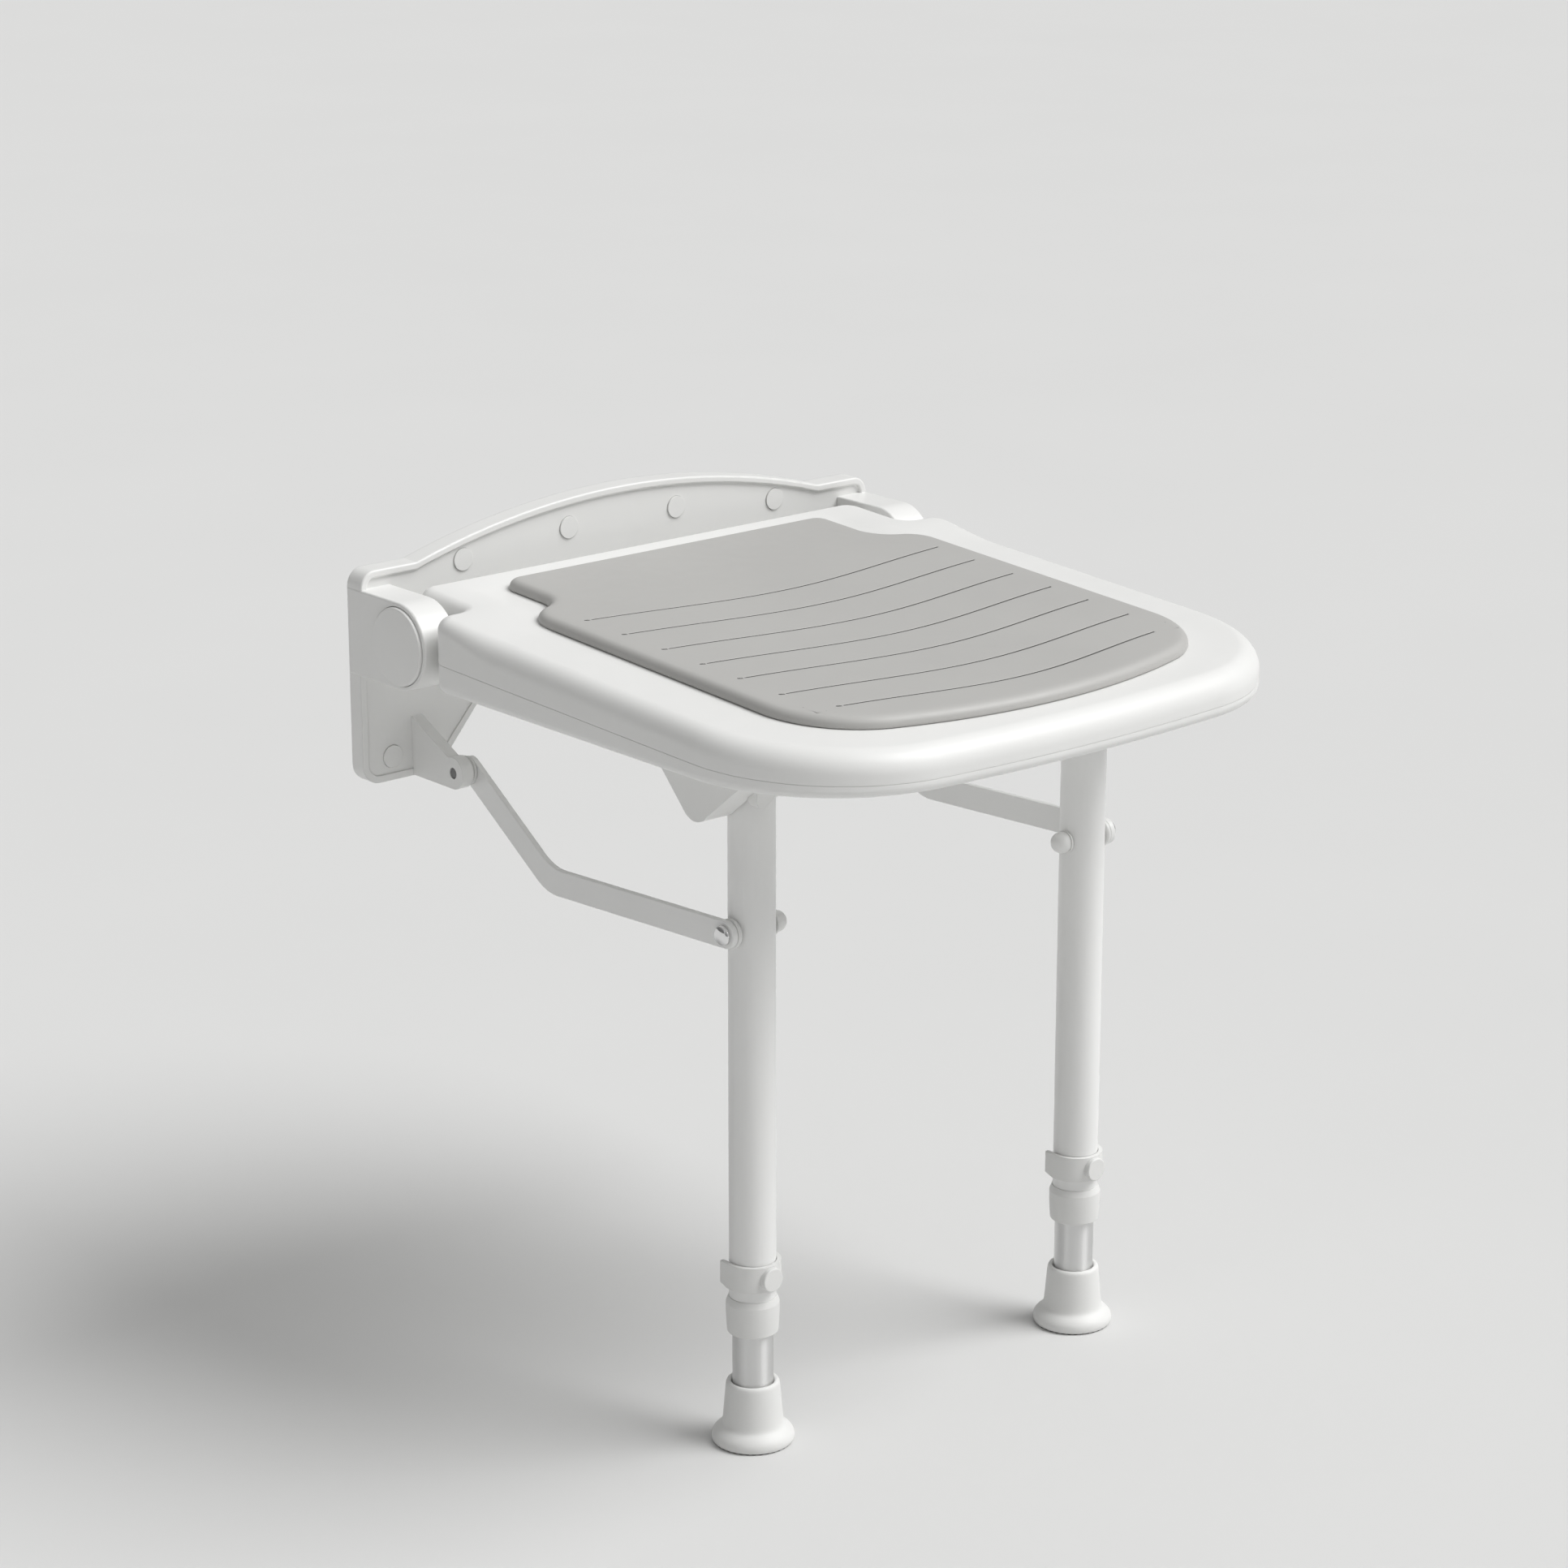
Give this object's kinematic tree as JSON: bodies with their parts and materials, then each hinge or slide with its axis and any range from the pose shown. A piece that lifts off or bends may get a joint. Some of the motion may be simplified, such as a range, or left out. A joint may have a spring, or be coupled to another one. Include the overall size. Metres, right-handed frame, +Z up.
{
  "type": "fold down wall seat",
  "caption": "Wall-hung shower seat with a grey pad on a white shell, folding flat against its arched wall bracket while two height-adjustable legs on cranked links swing down parallel to the wall.",
  "frame": {"origin": "centre of the wall bracket's flat back face, level with the seat hinge axis", "axes": "+X along the wall to the right seen from the front, +Y into the wall, +Z up"},
  "size_m": [0.4734, 0.4985, 0.589],
  "materials": {
    "white_moulding": "satin",
    "white_coating": "satin",
    "grey_pad": "satin",
    "light_plastic": "satin",
    "bright_steel": "satin",
    "spring_steel": "satin",
    "bright_tube": "satin",
    "chrome_fastener": "polished",
    "foot_rubber": "matte"
  },
  "bodies": {
    "bracket": {"wall_bracket": "white_moulding", "screw_caps": "white_moulding", "hinge_cap_left": "white_moulding", "hinge_cap_right": "white_moulding", "hinge_bush_left": "light_plastic", "hinge_bush_right": "light_plastic", "link_pivot_pin_left": "bright_steel", "link_pivot_washers_left": "light_plastic", "link_pivot_pin_right": "bright_steel", "link_pivot_washers_right": "light_plastic"},
    "seat": {"seat_top_shell": "white_moulding", "seat_bottom_shell": "white_moulding", "seat_pad": "grey_pad", "shell_screws": "bright_steel", "axle_clips": "spring_steel", "hinge_axle_left": "bright_steel", "hinge_axle_right": "bright_steel", "leg_pivot_pin_left": "bright_steel", "leg_pivot_pin_right": "bright_steel"},
    "left_leg": {"outer_leg_tube_left": "white_coating", "leg_top_plug_left": "light_plastic", "leg_end_sleeve_left": "light_plastic", "link_bolt_left": "chrome_fastener", "link_washers_left": "light_plastic", "link_dome_nut_left": "white_moulding"},
    "left_link": {"link_arm_left": "white_coating"},
    "left_clip": {"leg_clip_left": "light_plastic"},
    "left_foot": {"inner_leg_tube_left": "bright_tube", "inner_tube_guide_left": "light_plastic", "foot_ferrule_left": "foot_rubber"},
    "right_leg": {"outer_leg_tube_right": "white_coating", "leg_top_plug_right": "light_plastic", "leg_end_sleeve_right": "light_plastic", "link_bolt_right": "chrome_fastener", "link_washers_right": "light_plastic", "link_dome_nut_right": "white_moulding"},
    "right_link": {"link_arm_right": "white_coating"},
    "right_clip": {"leg_clip_right": "light_plastic"},
    "right_foot": {"inner_leg_tube_right": "bright_tube", "inner_tube_guide_right": "light_plastic", "foot_ferrule_right": "foot_rubber"}
  },
  "joints": [
    {"name": "seat_fold", "type": "hinge", "parent": "bracket", "child": "seat", "pos_m": [0, -0.06, 0], "axis": [-1, 0, 0], "range_deg": [0, 90]},
    {"name": "left_leg_fold", "type": "hinge", "parent": "seat", "child": "left_leg", "pos_m": [-0.152, -0.338, -0.05], "axis": [1, 0, 0], "range_deg": [0, 90]},
    {"name": "left_link_swing", "type": "hinge", "parent": "bracket", "child": "left_link", "pos_m": [-0.1735, -0.06, -0.099], "axis": [-1, 0, 0], "range_deg": [0, 90]},
    {"name": "left_leg_height", "type": "slide", "parent": "left_leg", "child": "left_foot", "axis": [0, 0, -1], "range_m": [-0.02, 0.1]},
    {"name": "left_clip_pull", "type": "slide", "parent": "left_leg", "child": "left_clip", "axis": [0, -1, 0], "range_m": [0, 0.03]},
    {"name": "right_leg_fold", "type": "hinge", "parent": "seat", "child": "right_leg", "pos_m": [0.152, -0.338, -0.05], "axis": [1, 0, 0], "range_deg": [0, 90]},
    {"name": "right_link_swing", "type": "hinge", "parent": "bracket", "child": "right_link", "pos_m": [0.1735, -0.06, -0.099], "axis": [-1, 0, 0], "range_deg": [0, 90]},
    {"name": "right_leg_height", "type": "slide", "parent": "right_leg", "child": "right_foot", "axis": [0, 0, -1], "range_m": [-0.02, 0.1]},
    {"name": "right_clip_pull", "type": "slide", "parent": "right_leg", "child": "right_clip", "axis": [0, -1, 0], "range_m": [0, 0.03]}
  ],
  "couplings": [
    {"joint": "left_leg_fold", "follows": "seat_fold", "ratio": 1},
    {"joint": "left_link_swing", "follows": "seat_fold", "ratio": 1},
    {"joint": "right_leg_fold", "follows": "seat_fold", "ratio": 1},
    {"joint": "right_link_swing", "follows": "seat_fold", "ratio": 1}
  ]
}
